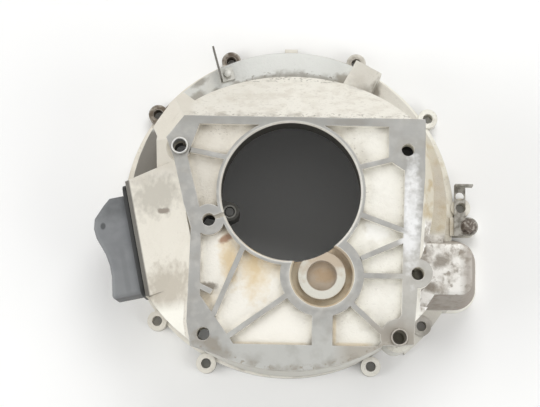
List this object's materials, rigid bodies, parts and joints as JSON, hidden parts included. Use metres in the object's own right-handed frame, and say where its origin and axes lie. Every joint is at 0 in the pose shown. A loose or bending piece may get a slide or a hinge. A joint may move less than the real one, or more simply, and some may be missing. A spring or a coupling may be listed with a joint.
{
  "type": "bellhousing",
  "caption": "Cast clutch bellhousing with ribbed gearbox face, round bore, fork window with rubber boot, starter pocket and bolted engine flange.",
  "frame": {"origin": "centre of the gearbox bore's axis in the plane of the engine face", "axes": "+Z along the bore from the engine face to the gearbox face, +Y to the top of the housing, +X to the starter pocket's side"},
  "size_m": [0.4016, 0.359, 0.169],
  "materials": {
    "cast_aluminium": "as cast, oxidised and dirty",
    "moulded_rubber": "matte",
    "hardened_steel": "ground",
    "sheet_steel": "worn plating",
    "zinc_steel": "dull plating",
    "rusty_steel": "rusted"
  },
  "bodies": {
    "root": {"housing": "cast_aluminium", "fork_boot": "moulded_rubber", "pivot_ball_stud": "hardened_steel", "face_dowels": "hardened_steel", "harness_clip": "sheet_steel", "clip_screw": "zinc_steel", "strap_bracket": "sheet_steel", "strap_bolt": "rusty_steel"}
  },
  "joints": []
}
